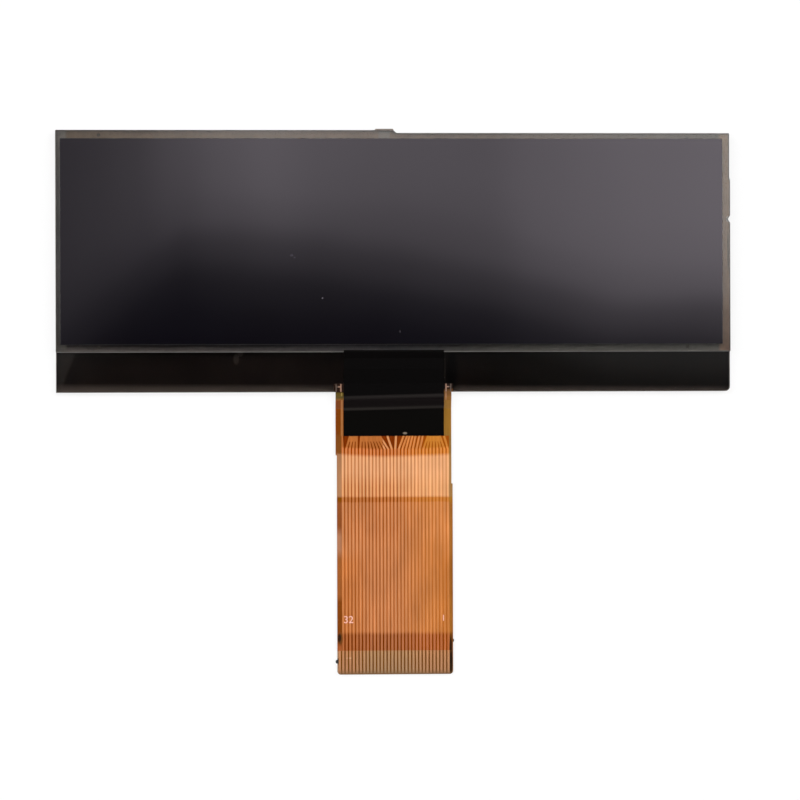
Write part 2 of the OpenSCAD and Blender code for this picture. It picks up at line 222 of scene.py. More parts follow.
# %% [markdown]
# ## Making a piece
# New pieces are drawn in millimetres with bmesh operators and made metres at the end. Each one
# rides on the module's one body, takes the finishes that it is given, and stands for the CAD node
# that it replaces. A point counts as on a line when it is NEAR to it, and a face as flat when its
# normal's upright share is above LEVEL.


# %% Helpers for pieces
NEAR = 0.01
LEVEL = 0.95


def finish_piece(bm, name, nodes, materials):
    """Turns a bmesh in millimetres into a piece of the object."""
    bmesh.ops.scale(bm, vec=(MM, MM, MM), verts=bm.verts)
    bmesh.ops.recalc_face_normals(bm, faces=bm.faces)
    mesh = bpy.data.meshes.new(name)
    bm.to_mesh(mesh)
    bm.free()
    for material in materials:
        mesh.materials.append(material)
    piece = bpy.data.objects.new(name, mesh)
    bpy.context.collection.objects.link(piece)
    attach(piece, "root")
    if nodes:
        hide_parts(*nodes)
    print(name, "faces:", len(mesh.polygons), "size in mm:", [round(d / MM, 2) for d in piece.dimensions])


def box_mm(node):
    """Lowest and highest corner of a CAD node, in millimetres."""
    low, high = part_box(node)
    return low / MM, high / MM


def side_faces(bm):
    """The faces that don't lie flat, which are a sheet's cut edges and their bevels."""
    return {face for face in bm.faces if abs(face.normal.z) < LEVEL}


# %% [markdown]
# ## The glass
# Display glass is soda-lime float glass, scored with a wheel and snapped. Its open faces are
# polished and clear. Lamps have to reach what lies between the sheets, and ordinary glass in a path
# tracer stops their light, so a Light Path node lets the lamps' rays straight through.
#
# A face that epoxy, liquid or adhesive wets doesn't mirror, because those have nearly the index of
# glass. Such faces get a clear coat with no gloss of its own, or each margin would show the sky
# four times over. The snapped edges are duller and let little through from above.

# %% Glass materials
clear_glass, tree, surface, _ = new_material("soda_lime_float_glass")
fill(surface, {"Base Color": "#F7F8F5", "Roughness": 0.0, "IOR": 1.52, "Transmission Weight": 1.0})
path = tree.nodes.new("ShaderNodeLightPath")
passing = add_node(tree, "ShaderNodeBsdfTransparent", {"Color": "#F4F4F1"})
lets_lamps_through = add_node(tree, "ShaderNodeMixShader", {
    0: path.outputs["Is Shadow Ray"], 1: surface.outputs[0], 2: passing})
fill(tree.nodes["Material Output"], {"Surface": lets_lamps_through})

wetted_face, _, surface, _ = new_material("wetted_glass_face")
fill(surface, {"Base Color": "#201E1C", "Roughness": 0.6, "Alpha": 0.02, "Specular IOR Level": 0.0})

snapped_edge = mottled("snapped_glass_edge", "#514C47", "#6A645E", patch_mm=1.5, roughness=0.45,
                       bump_mm=0.05, grain_mm=0.4, **{"Specular IOR Level": 0.2})

# %% [markdown]
# Both sheets were snapped together along the top, and the snap ran off its line beside the fill
# port: to the right of the bead the edge lies 0.4 mm lower. The right edge is rough too: its upper
# part lies a little further in, and a chip is out of both sheets. A block is cut across with
# bisect_plane wherever an edge turns, and the points past a cut move. Dissolving the flat cuts
# leaves whole faces again, so a bevel can break every edge.

# %% A sheet with a stepped upper edge and a chipped right one
_, high = box_mm("front_glass")
glass_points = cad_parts["front_glass"].data.vertices
TOP_DROP = high.y - max(v.co.y / MM for v in glass_points if v.co.x / MM > high.x - NEAR)
DROP_X = box_mm("end_seal")[1].x
SIDE_STEP_Y, SIDE_STEP = 11.7, 0.12
CHIP_Y, CHIP_HALF, CHIP_DEPTH = 5.95, 0.5, 0.42
SAME_PLANE = 0.01
print("upper edge steps down by", round(TOP_DROP, 3), "mm at x =", round(DROP_X, 2))


def block(low, high):
    """A plain block between two corners, as a bmesh in millimetres."""
    bm = bmesh.new()
    bmesh.ops.create_cube(bm, size=1)
    bmesh.ops.scale(bm, vec=high - low, verts=bm.verts)
    bmesh.ops.translate(bm, vec=(high + low) / 2, verts=bm.verts)
    return bm


def cut_across(bm, place, normal):
    """Cuts each face that a plane crosses, and leaves the piece whole."""
    bmesh.ops.bisect_plane(bm, geom=bm.verts[:] + bm.edges[:] + bm.faces[:], plane_co=place,
                           plane_no=normal)


def snapped_sheet(low, high):
    """A sheet between two corners, with the step in its upper edge and the chip in its right one."""
    bm = block(low, high)
    for x in (DROP_X, DROP_X + TOP_DROP):
        cut_across(bm, (x, 0, 0), (1, 0, 0))
    lowered = [v for v in bm.verts if v.co.x > DROP_X + TOP_DROP - NEAR and v.co.y > high.y - NEAR]
    bmesh.ops.translate(bm, vec=(0, -TOP_DROP, 0), verts=lowered)
    for y in (SIDE_STEP_Y, SIDE_STEP_Y - SIDE_STEP, CHIP_Y + CHIP_HALF, CHIP_Y, CHIP_Y - CHIP_HALF):
        cut_across(bm, (0, y, 0), (0, 1, 0))
    right_edge = [v for v in bm.verts if v.co.x > high.x - NEAR]
    set_in = [v for v in right_edge if v.co.y > SIDE_STEP_Y - NEAR]
    bmesh.ops.translate(bm, vec=(-SIDE_STEP, 0, 0), verts=set_in)
    chipped = [v for v in right_edge if abs(v.co.y - CHIP_Y) < NEAR]
    bmesh.ops.translate(bm, vec=(-CHIP_DEPTH, 0, 0), verts=chipped)
    bmesh.ops.dissolve_limit(bm, angle_limit=SAME_PLANE, verts=bm.verts, edges=bm.edges)
    return bm


# %% [markdown]
# The rear sheet is taller than the front one and leaves the ledge bare. One of its corners was
# ground round. A bevel of the vertical edge makes that corner, and a small bevel of the rims
# follows. Both sheets are held a few thousandths of a millimetre clear of what they touch, because
# two surfaces in one place give the renderer nothing to choose between. A cut along the foot of the
# front sheet parts the rear sheet's wetted face from its open ledge.

# %% Make the two sheets of glass
CLEAR = Vector((0, 0, 0.003))
GROUND_CORNER = 0.7
SNAPPED = 0.1
OPEN, SNAPPED_FACE, WETTED = range(3)


def break_edges(bm, edges, width, segments=2):
    """Bevels some edges by a given width."""
    bmesh.ops.bevel(bm, geom=edges, offset=width, offset_type="OFFSET", affect="EDGES", segments=segments,
                    profile=0.5, material=-1)


def face_finishes(bm, wetted):
    """Gives each face its material: snapped at the sides, and wetted where wetted(face) says so."""
    bm.normal_update()
    sides = side_faces(bm)
    for face in bm.faces:
        if face in sides:
            face.material_index = SNAPPED_FACE
        else:
            face.material_index = WETTED if wetted(face) else OPEN


low, high = box_mm("rear_glass")
foot_y = box_mm("front_glass")[0].y
rear = snapped_sheet(low + CLEAR, high - CLEAR)
corner = [e for e in rear.edges if all(v.co.x > high.x - NEAR and v.co.y < low.y + NEAR for v in e.verts)]
break_edges(rear, corner, GROUND_CORNER, segments=8)
break_edges(rear, [e for e in rear.edges if abs(e.verts[0].co.z - e.verts[1].co.z) < NEAR], SNAPPED)
cut_across(rear, (0, foot_y, 0), (0, 1, 0))
face_finishes(rear, lambda face: face.normal.z < 0 or face.calc_center_median().y > foot_y)
glass_finishes = [clear_glass, snapped_edge, wetted_face]
finish_piece(rear, "rear_glass_sheet", ["rear_glass"], glass_finishes)

low, high = box_mm("front_glass")
front = snapped_sheet(low + CLEAR, high - CLEAR)
break_edges(front, front.edges[:], SNAPPED)
face_finishes(front, lambda face: face.normal.z < 0)
finish_piece(front, "front_glass_sheet", ["front_glass"], glass_finishes)

# %% [markdown]
# ## The polarisers
# A polariser is a dyed plastic film between two clear ones. With the cell behind it switched off,
# it looks almost black. Its face has a fine anti-glare finish, so it blurs what it reflects
# without looking dull, and it is never quite flat, so straight reflections waver. The film shows
# best in what it mirrors: a Bump node on noise as wide as 25 mm gives the waver.
#
# A few specks of dust lie on it, one of them with a dark rim.

# %% Make the front polariser
film_face, tree, surface, in_mm = new_material("anti_glare_polariser")
tone = drifting(tree, in_mm, "#050409", "#08070D", patch_mm=14)
tone = spotted(tree, in_mm, tone, "#020202", [(0.75, -10.0, 0.24, 0.42)])
tone = spotted(tree, in_mm, tone, "#5A565D", [(-10.25, -5.25, 0.14, 0.12)])
tone = spotted(tree, in_mm, tone, "#38353C", [(0.75, -10.0, 0.09, 0.26)])
tone = spotted(tree, in_mm, tone, "#2A272F", [(-14.6, 0.8, 0.3, 0.2), (-14.2, 0.5, 0.2, 0.12)])
waver = uneven(tree, in_mm, width_mm=25, depth_mm=0.02, strength=1.0, detail=1.0)
fill(surface, {"Base Color": tone, "Roughness": 0.04, "IOR": 1.49, "Normal": waver,
               "Specular Tint": (1.0, 0.9, 1.0, 1.0)})
film_edge = mottled("cut_acetate_edge", "#262424", "#3A3736", patch_mm=3, roughness=0.4, IOR=1.49)

FILM_BREAK = 0.04
low, high = box_mm("front_polariser")
film = block(low, high)
break_edges(film, film.edges[:], FILM_BREAK)
film.normal_update()
for face in side_faces(film):
    face.material_index = 1
finish_piece(film, "front_polariser_film", ["front_polariser"],
             [film_face, film_edge])

# %% [markdown]
# ## The bead that closes the cell
# The liquid is drawn in through a gap in the seal, and a drop of resin closes the gap. It is
# scraped flat before it is cured, so it sets as a low bar with rounded edges along both glass
# edges. A block with a wide bevel makes the bar, and a thin block is the resin inside the gap.

# %% Make the bead
resin = mottled("cured_resin", "#6D6259", "#776B62", patch_mm=0.8, roughness=0.3, IOR=1.5)
PORT_LEFT, PORT_RIGHT, SEAL_DEPTH = -2.2, -0.6, 1.3
BEAD_ROUND = 0.12

low, high = box_mm("end_seal")
edge_y = box_mm("front_glass")[1].y
gap_low, gap_high = box_mm("perimeter_seal")
bead = block(Vector((low.x, edge_y + CLEAR.z, low.z)), high)
outer = [e for e in bead.edges if any(v.co.y > edge_y + NEAR for v in e.verts)]
break_edges(bead, outer, BEAD_ROUND, segments=5)
plug = bmesh.ops.create_cube(bead, size=1)["verts"]
bmesh.ops.scale(bead, vec=(PORT_RIGHT - PORT_LEFT, SEAL_DEPTH, gap_high.z - gap_low.z), verts=plug)
bmesh.ops.translate(bead, vec=((PORT_LEFT + PORT_RIGHT) / 2, edge_y - SEAL_DEPTH / 2,
                               (gap_low.z + gap_high.z) / 2), verts=plug)
finish_piece(bead, "end_seal_bead", ["end_seal"], [resin])

# %% [markdown]
# ## The tail's colours
# The tail is amber polyimide film over copper. Film over copper looks paler than film between the
# tracks, and the tone steps where a ply starts or ends: a dark stretch below the tape, a pale one
# where the rear film is missing, the long run, and a brown one over the stiffener. So a colour is
# looked up by the distance along the tail, once for film over a track, once for film between
# tracks and once for the margins beside them. The margins have a few stretches more, which start
# where the real tail is paler or darker.

# %% A helper for colours along the tail
TAIL_LOW, TAIL_HIGH = -60.0, -16.0


def along_tail(tree, y_mm, bands, soft=0.06):
    """A colour looked up along the tail. A band is its lower end in mm, a hex colour, and its softness."""
    softness = [band[2] if len(band) > 2 else soft for band in bands] + [soft]
    ends = [band[0] for band in bands[1:]] + [TAIL_HIGH]
    stops = []
    for i, band in enumerate(bands):
        stops += [(band[0] + softness[i], band[1]), (ends[i] - softness[i + 1], band[1])]
    return look_up(tree, y_mm, stops, TAIL_LOW, TAIL_HIGH)


# %% [markdown]
# Lengths that the look-ups need come from the CAD nodes, so a change of the model moves the colours
# with it. The heights are those of the flat run: the back of the base film, and the coverlay's
# face between the tracks and over them. The leftmost finger has no track, so the row of tracks
# starts at the second one.

# %% Measure the tail
TAPE_END = box_mm("cover_tape")[0].y
LEDGE_Y = box_mm("rear_glass")[0].y
FINGER_TOP = box_mm("front_coverlay")[0].y
STIFF_TOP = box_mm("stiffener")[1].y
WINDOW_TOP = box_mm("rear_coverlay_head")[0].y
WINDOW_END = box_mm("rear_coverlay_run")[1].y
HALF_W = box_mm("front_coverlay")[1].x
BASE_Z, FILM_Z, RIDGE_Z = 0.31, 0.40, 0.41
PITCH, TRACK_W = 0.5, 0.3
fingers = [v.co.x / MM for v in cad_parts["front_copper"].data.vertices if v.co.y / MM < FINGER_TOP - 1]
FIRST_X, LAST_X = min(fingers) + TRACK_W / 2 + PITCH, max(fingers) - TRACK_W / 2
ROW_LEFT, ROW_RIGHT = FIRST_X - TRACK_W / 2, LAST_X + TRACK_W / 2
print("tape ends at", round(TAPE_END, 2), "window", round(WINDOW_TOP, 2), "to", round(WINDOW_END, 2),
      "stiffener from", round(STIFF_TOP, 2), "fingers from", round(FINGER_TOP, 2))
print("tracks from x =", round(FIRST_X, 2), "to", round(LAST_X, 2))

# %% [markdown]
# ## Front coverlay
# The coverlay is the film that shows most. It is a hundredth of a millimetre higher over each
# track, so in the flat run the height says where a track lies, and the colours follow the solid
# exactly. The window's upper border bows across the tail and wavers, as hand-laid film does, and the
# border over the stiffener is straight. The right half of the real tail is more golden than the
# left one, so each of the look-ups is made for both and one goes over into the other. A named pair
# such as GOLDEN holds the places in mm where a change starts and where it is complete. Polyimide
# is glossy, and the gloss is left low enough to keep the colours.

# %% Coverlay over the tracks
coverlay, tree, surface, in_mm = new_material("polyimide_coverlay_over_tracks")
x_mm, y_mm, z_mm = add_node(tree, "ShaderNodeSeparateXYZ", {0: in_mm}).node.outputs
BOW, RIPPLE = 0.3, 0.25
across_share = add_node(tree, "ShaderNodeMath", {0: x_mm, 1: 1 / HALF_W}, operation="MULTIPLY")
squared = add_node(tree, "ShaderNodeMath", {0: across_share, 1: across_share}, operation="MULTIPLY")
bow = add_node(tree, "ShaderNodeMapRange", {0: y_mm, 1: WINDOW_END, 2: WINDOW_TOP, 3: 0.0, 4: -BOW})
bowed = add_node(tree, "ShaderNodeMath", {0: squared, 1: bow, 2: y_mm}, operation="MULTIPLY_ADD")
ripple = add_node(tree, "ShaderNodeTexNoise", {"Vector": in_mm, "Scale": 0.3, "Detail": 1.0})
y_soft = add_node(tree, "ShaderNodeMath", {0: ripple, 1: RIPPLE, 2: bowed}, operation="MULTIPLY_ADD")

# A narrow strip just below the window's lower border is painted darker: painted shade along that border.
BORDER_SHADE_LOW = WINDOW_END - 0.75
MID = WINDOW_END - 6.0
WINDOW_MID = WINDOW_END + 2.4
FAN_LOW = TAPE_END - 1.75
GOLDEN = (0.0, 5.0)
FAN_SIDE, TAIL_SIDE = 8.0, 8.3
SAME_HEIGHT = 0.002
track_left = along_tail(tree, y_soft, [
    (TAIL_LOW, "#AD6B43"), (STIFF_TOP, "#C78254", 0.25), (MID, "#C68153", 1.0), (BORDER_SHADE_LOW, "#BF753F"),
    (WINDOW_END, "#DA9B69", 0.12), (WINDOW_MID, "#E0A577", 1.0), (WINDOW_TOP, "#CE7C46", 0.2)])
track_right = along_tail(tree, y_soft, [
    (TAIL_LOW, "#B56B40"), (STIFF_TOP, "#C37D47", 0.25), (MID, "#CE8751", 1.0), (BORDER_SHADE_LOW, "#CA7F3B"),
    (WINDOW_END, "#E5A874", 0.12), (WINDOW_MID, "#EAAD7B", 1.0), (WINDOW_TOP, "#D98940", 0.2)])
between_left = along_tail(tree, y_soft, [
    (TAIL_LOW, "#702D06"), (STIFF_TOP, "#A05829", 0.25), (MID, "#9B5121", 1.0), (BORDER_SHADE_LOW, "#853A06"),
    (WINDOW_END, "#AC5E2C", 0.12), (WINDOW_MID, "#BE7748", 1.0), (WINDOW_TOP, "#8F3A02", 0.2),
    (FAN_LOW, "#732B01", 0.15)])
between_right = along_tail(tree, y_soft, [
    (TAIL_LOW, "#833A0C"), (STIFF_TOP, "#B1652B", 0.25), (MID, "#B5672D", 1.0), (BORDER_SHADE_LOW, "#A85B1A"),
    (WINDOW_END, "#CA8553", 0.12), (WINDOW_MID, "#D08C5D", 1.0), (WINDOW_TOP, "#A95511", 0.2),
    (FAN_LOW, "#98490A", 0.15)])
raised = lay_over(tree, track_left, track_right, x_mm, *GOLDEN)
in_fan = look_up(tree, x_mm, [
    (-7.5, "#B0662F"), (-1.75, "#B0662F"), (-1.65, "#D28D58"), (0.65, "#D28D58"), (0.85, "#C87B3F"),
    (4.0, "#C87B3F"), (4.3, "#C07628"), (7.5, "#C27A30")], -FAN_SIDE, FAN_SIDE)
raised = lay_over(tree, raised, in_fan, y_soft, FAN_LOW - 0.15, FAN_LOW + 0.15)
tone = lay_over(tree, between_left, between_right, x_mm, *GOLDEN)
tone = lay_over(tree, tone, raised, z_mm, FILM_Z + SAME_HEIGHT, RIDGE_Z - SAME_HEIGHT)

# %% [markdown]
# The margins are film with no track in it. The left one is browner, with a pale stretch half way
# along it, and beside the tape the first track shows in it as a paler line. In the lower part of
# the run both sides are a little warmer than the middle, and near the contact end both edges are
# darker in spots and along a strip of the right edge.

# %% Margins beside the outermost tracks
BROWN_TOP, PALE_LOW, PALE_TOP = -47.9, -41.6, -38.4
MIDDLE = (-1.0, 1.0)
GILT_TOP = (-43.0, -41.0)
EDGE_TRACK_X, EDGE_TRACK_SIDE = FIRST_X - 0.2 * PITCH, (0.2, 0.12)
margin_left = along_tail(tree, y_soft, [
    (TAIL_LOW, "#9E5C38"), (STIFF_TOP - 1.8, "#8E4C28", 0.4), (STIFF_TOP, "#7A4114", 0.2),
    (BROWN_TOP, "#985C32", 0.5), (PALE_LOW, "#AA7353", 0.6), (PALE_TOP, "#894A23", 0.7),
    (BORDER_SHADE_LOW, "#7B4204", 0.15),
    (WINDOW_END, "#A57551", 0.12), (WINDOW_TOP, "#7F481A", 0.12), (TAPE_END, "#7C3C0A", 0.3)])
margin_right = along_tail(tree, y_soft, [
    (TAIL_LOW, "#764419"), (STIFF_TOP, "#96602A", 0.2), (BROWN_TOP, "#925A25", 0.6),
    (PALE_LOW, "#985F28", 0.8), (BORDER_SHADE_LOW, "#A26C23", 0.4), (WINDOW_END, "#9C7444", 0.12),
    (WINDOW_TOP, "#89652F", 0.12), (TAPE_END, "#8F6526", 0.3)])
tone = lay_over(tree, tone, margin_left, x_mm, ROW_LEFT + 0.02, ROW_LEFT - 0.06)
tone = lay_over(tree, tone, margin_right, x_mm, ROW_RIGHT - 0.02, ROW_RIGHT + 0.06)

off_track = add_node(tree, "ShaderNodeMath", {0: x_mm, 1: EDGE_TRACK_X}, operation="SUBTRACT")
off_track = add_node(tree, "ShaderNodeMath", {0: off_track}, operation="ABSOLUTE")
beside_tape = lay_over(tree, margin_left, "#A26838", off_track, *EDGE_TRACK_SIDE)
beside_tape = lay_over(tree, beside_tape, margin_right, x_mm, *MIDDLE)
tone = lay_over(tree, tone, beside_tape, y_mm, TAPE_END - 0.02, TAPE_END + 0.02)
gilt = look_up(tree, x_mm, [(-8.2, "#FFF0D2"), (-5.7, "#FFF6E2"), (-3.5, "#FFFFFF"), (5.5, "#FFFFFF"),
                            (7.0, "#FFF9E7"), (8.2, "#FFF9E7")], -TAIL_SIDE, TAIL_SIDE)
gilt = lay_over(tree, gilt, "#FFFFFF", y_mm, *GILT_TOP)
tone = add_node(tree, "ShaderNodeVectorMath", {0: tone, 1: gilt}, operation="MULTIPLY")
tone = spotted(tree, in_mm, tone, "#6A3C18", [(-7.85, -53.7, 0.45, 1.1)])
tone = spotted(tree, in_mm, tone, "#2E1C0E", [(-7.95, -53.6, 0.28, 0.75), (7.92, -55.6, 0.24, 3.0)])
tone = streaked(tree, in_mm, tone, width_mm=0.35, length_mm=9.0, depth=0.12)
tone = streaked(tree, in_mm, tone, width_mm=2.6, length_mm=6.0, depth=0.08)
fill(surface, {"Base Color": tone, "Roughness": 0.06, "IOR": 1.5})
dress("front_coverlay", coverlay)
print("coverlay: six look-ups along", round(TAIL_HIGH - TAIL_LOW), "mm")

# %% [markdown]
# ## Base film and copper
# The base film shows beside the tape, on the bare head and between the fingers. On the head the
# black ledge lies behind it, so it is nearly black-brown there. On the slope it is olive, and
# between the fingers it has the amber of the film with the stiffener behind it. The contact end's
# side edges have dark spots, and at the slope there is a pale sliver on the right and an olive patch
# on the left.
#
# From behind, in the window, the tracks show through the film as paler lines at the fingers' pitch.
# The rear coverlays show them the same way, so the lines have a helper of their own. It counts the
# tracks by x and folds the count, which is then half at the middle of each track and nought
# between two.

# %% A helper for lines across the tail
ROW_START = 0.5 - LAST_X / PITCH
TRACK_EDGE = 0.5 - TRACK_W / PITCH / 2


def lined(tree, x_mm, gap, line, soft):
    """A colour between the tracks and one over them, with a soft border."""
    count = add_node(tree, "ShaderNodeMath", {0: x_mm, 1: 1 / PITCH, 2: ROW_START}, operation="MULTIPLY_ADD")
    folded = add_node(tree, "ShaderNodeMath", {0: count, 1: 0.5}, operation="PINGPONG")
    return lay_over(tree, gap, line, folded, TRACK_EDGE - soft, TRACK_EDGE + soft)


# %% Base film
LINES_END = TAPE_END - 1.9
END_STRIP_TOP = FINGER_TOP - 2.95
END_MARGIN = (-8.04, -8.12)
base, tree, surface, in_mm = new_material("polyimide_base_film")
x_mm, y_mm, z_mm = add_node(tree, "ShaderNodeSeparateXYZ", {0: in_mm}).node.outputs
tone = along_tail(tree, y_mm, [
    (TAIL_LOW, "#7A5A3C"), (END_STRIP_TOP, "#6C4019", 0.3), (FINGER_TOP, "#8E5B22"),
    (LEDGE_Y - 1.0, "#564618", 0.2), (LEDGE_Y - 0.1, "#24130A")], soft=0.1)
right_side = along_tail(tree, y_mm, [
    (TAIL_LOW, "#7A5A3C"), (END_STRIP_TOP, "#6C4019", 0.3), (FINGER_TOP, "#8A5C28"),
    (LEDGE_Y - 0.6, "#6C4826", 0.2), (LEDGE_Y + 0.3, "#170C07", 0.25)], soft=0.1)
tone = lay_over(tree, tone, right_side, x_mm, *MIDDLE)
end_margin = lay_over(tree, tone, "#A37F62", x_mm, *END_MARGIN)
tone = lay_over(tree, tone, end_margin, y_mm, FINGER_TOP + 0.1, FINGER_TOP - 0.1)
from_behind = lined(tree, x_mm, "#A9632C", "#D9985F", soft=0.03)
from_behind = lay_over(tree, from_behind, tone, y_mm, LINES_END, TAPE_END)
tone = lay_over(tree, tone, from_behind, z_mm, BASE_Z + 0.005, BASE_Z + 0.001)
tone = spotted(tree, in_mm, tone, "#26190E", [(7.95, -57.0, 0.24, 2.3), (-8.18, -56.9, 0.26, 0.5)])
tone = spotted(tree, in_mm, tone, "#A87A58", [(7.3, -19.2, 0.09, 0.8)])
tone = spotted(tree, in_mm, tone, "#84703A", [(-7.55, -18.95, 0.14, 0.3)])
tone = streaked(tree, in_mm, tone, width_mm=1.5, length_mm=6.0, depth=0.08)
fill(surface, {"Base Color": tone, "Roughness": 0.08, "IOR": 1.5})
dress("base_film", base)
print("base film: lines at", PITCH, "mm show through from behind")

# %% [markdown]
# The fingers and the two alignment marks are copper with a flash of nickel and gold. Gold this
# thin looks pinkish and is easily scuffed by a connector, so the fingers have fine scuffs along
# them and one across the leftmost few, and the middle ones have lost more of their gold. The
# fingers' tips are darker. The marks look almost silver, and their outer bars are dimmer. The head
# that bears them lies a little to the left, about HEAD_X.

# %% Copper
HEAD_X, OUTER_BARS, MARKS_LOW = -0.17, (7.8, 7.95), LEDGE_Y - 0.6
TIPS_TOP, RUBBED_TOP = -58.4, -56.6
copper, tree, surface, in_mm = new_material("gold_flashed_copper")
x_mm, y_mm, _ = add_node(tree, "ShaderNodeSeparateXYZ", {0: in_mm}).node.outputs
plating = along_tail(tree, y_mm, [
    (TAIL_LOW, "#7E6048"), (TIPS_TOP, "#B08463", 0.32), (RUBBED_TOP, "#BB8A64", 0.9),
    (MARKS_LOW, "#8D736B")], soft=0.1)
rubbed = look_up(tree, x_mm, [
    (-8.2, "#FFECD2"), (-5.8, "#FFECD2"), (-3.6, "#F0F4E4"), (1.6, "#F0F4E4"), (5.0, "#FFF0D9"),
    (8.2, "#FFF0D9")], -TAIL_SIDE, TAIL_SIDE)
plating = add_node(tree, "ShaderNodeVectorMath", {0: plating, 1: rubbed}, operation="MULTIPLY")
plating = spotted(tree, in_mm, plating, "#D8AE88", [(-6.55, -56.45, 0.55, 0.07)])
from_middle = add_node(tree, "ShaderNodeMath", {0: x_mm, 1: HEAD_X}, operation="SUBTRACT")
from_middle = add_node(tree, "ShaderNodeMath", {0: from_middle}, operation="ABSOLUTE")
outer_bars = lay_over(tree, plating, "#4A3B31", from_middle, *OUTER_BARS)
plating = lay_over(tree, plating, outer_bars, y_mm, MARKS_LOW - 0.2, MARKS_LOW)
plating = streaked(tree, in_mm, plating, width_mm=0.12, length_mm=2.5, depth=0.12)
fill(surface, {"Base Color": plating, "Roughness": 0.45, "Metallic": 0.35})
dress("front_copper", copper)

# %% [markdown]
# ## Plain films on the back
# The rear coverlays are the same film as the front one, over rolled copper. The first covers the
# head, with the rear tracks under it, and the second runs on to the contact end, where the
# stiffener is glued on.

# %% Rear films
rear_film, tree, surface, in_mm = new_material("polyimide_rear_coverlay")
x_mm, y_mm, _ = add_node(tree, "ShaderNodeSeparateXYZ", {0: in_mm}).node.outputs
tone = lined(tree, x_mm, "#9C5A20", "#BC7A3C", soft=0.05)
tone = lay_over(tree, tone, "#9C5A20", y_mm, LINES_END, TAPE_END)
tone = streaked(tree, in_mm, tone, width_mm=1.2, length_mm=8.0, depth=0.08)
fill(surface, {"Base Color": tone, "Roughness": 0.18, "IOR": 1.5})
for node in ("rear_coverlay_head", "rear_coverlay_run"):
    dress(node, rear_film)

# %% [markdown]
# ## The ledge
# Black film behind the ledge makes it look black from the front. It isn't quite even: the left end
# has a paler corner where the film was cut short, a painted highlight runs along the lower edge where
# the glass catches light, and the part to the right of the tape is darker and browner. A smear lies
# near the foot of the front sheet. A thin painted highlight of the tape's cut edge and a darker strip
# run along the tape's right edge.

# %% Ledge film
RIGHT_PART, PALE_CORNER = (6.0, 14.0), (-39.8, -40.3)
CORNER_SLANT, RIM_SLANT = -0.4, 0.005
shade, tree, surface, in_mm = new_material("black_shade_film")
x_mm, y_mm, _ = add_node(tree, "ShaderNodeSeparateXYZ", {0: in_mm}).node.outputs
tone = drifting(tree, in_mm, "#120B0A", "#18110F", patch_mm=6, detail=2.0)
tone = lay_over(tree, tone, "#0A0503", x_mm, *RIGHT_PART)
slant = add_node(tree, "ShaderNodeMath", {0: y_mm, 1: CORNER_SLANT, 2: x_mm}, operation="MULTIPLY_ADD")
tone = lay_over(tree, tone, "#2B2624", slant, *PALE_CORNER)
# Painted highlight along the ledge's lower edge, where the glass catches light.
rim = add_node(tree, "ShaderNodeMath", {0: x_mm, 1: RIM_SLANT, 2: y_mm}, operation="MULTIPLY_ADD")
tone = lay_over(tree, tone, "#564C47", rim, LEDGE_Y + 1.1, LEDGE_Y - 0.15)
tone = spotted(tree, in_mm, tone, "#030202", [(8.2, -15.6, 1.0, 3.4)])
tone = spotted(tree, in_mm, tone, "#2F2926", [(-21.9, -13.1, 0.5, 0.5), (-22.5, -13.9, 0.5, 0.9)])
# Painted highlight: the thin pale line where the tape's cut edge catches light.
tone = spotted(tree, in_mm, tone, "#26211E", [(7.22, -15.6, 0.1, 2.8)])
fill(surface, {"Base Color": tone, "Roughness": 0.5, "Specular IOR Level": 0.0})
dress("ledge_shade", shade)

# %% [markdown]
# ## The cover tape
# The tape is black polyester, 0.08 mm thick. It is nearly as dark as the ledge. Painted highlights
# lie along the two lines where it is bent, and a fainter painted sheen on the slope between them. A
# crumb of white paper sticks to its end.

# %% Tape
CREST_Y, FOOT_Y, SLANT = -19.25, -20.87, -0.024
tape, tree, surface, in_mm = new_material("black_polyester_tape")
x_mm, y_mm, _ = add_node(tree, "ShaderNodeSeparateXYZ", {0: in_mm}).node.outputs
across = add_node(tree, "ShaderNodeMath", {0: x_mm, 1: SLANT, 2: y_mm}, operation="MULTIPLY_ADD")
# Painted highlights at the foot and the crest of the bend, with painted sheen on the slope between.
tone = along_tail(tree, across, [
    (TAIL_LOW, "#090807"), (FOOT_Y - 0.18, "#252220"), (FOOT_Y + 0.18, "#131010"),
    (CREST_Y - 0.2, "#242120"), (CREST_Y + 0.2, "#090808")], soft=0.08)
tone = spotted(tree, in_mm, tone, "#776B5F", [(1.47, -24.48, 0.37, 0.2)])
relief = uneven(tree, in_mm, width_mm=0.35, depth_mm=0.004, strength=0.3)
fill(surface, {"Base Color": tone, "Roughness": 0.2, "Specular IOR Level": 0.015, "Normal": relief})
dress("cover_tape", tape)
print("tape set, bent at", CREST_Y, "and", FOOT_Y)

# %% [markdown]
# ## The seal
# The seal is grey-brown epoxy full of fine glass spacers, squeezed flat between the sheets. It is
# what shows through the margins. Over its own tone, light and shade are painted in from side to
# side: it is lightest down the right side and darkest along the bottom, with painted shade next to
# the front polariser's lower edge. It is bruised white in the chip, and a thin dark line runs down
# the right side below it.

# %% Seal
ACROSS, UPWARD, CORNER_X = (-48, 48), (-13, 18.6), 46.5
FOOT_OUTWARD, HALF_WAY = (-11.9, -12.8), (0.0, 4.0)
seal, tree, surface, in_mm = new_material("cured_seal_epoxy")
x_mm, y_mm, _ = add_node(tree, "ShaderNodeSeparateXYZ", {0: in_mm}).node.outputs
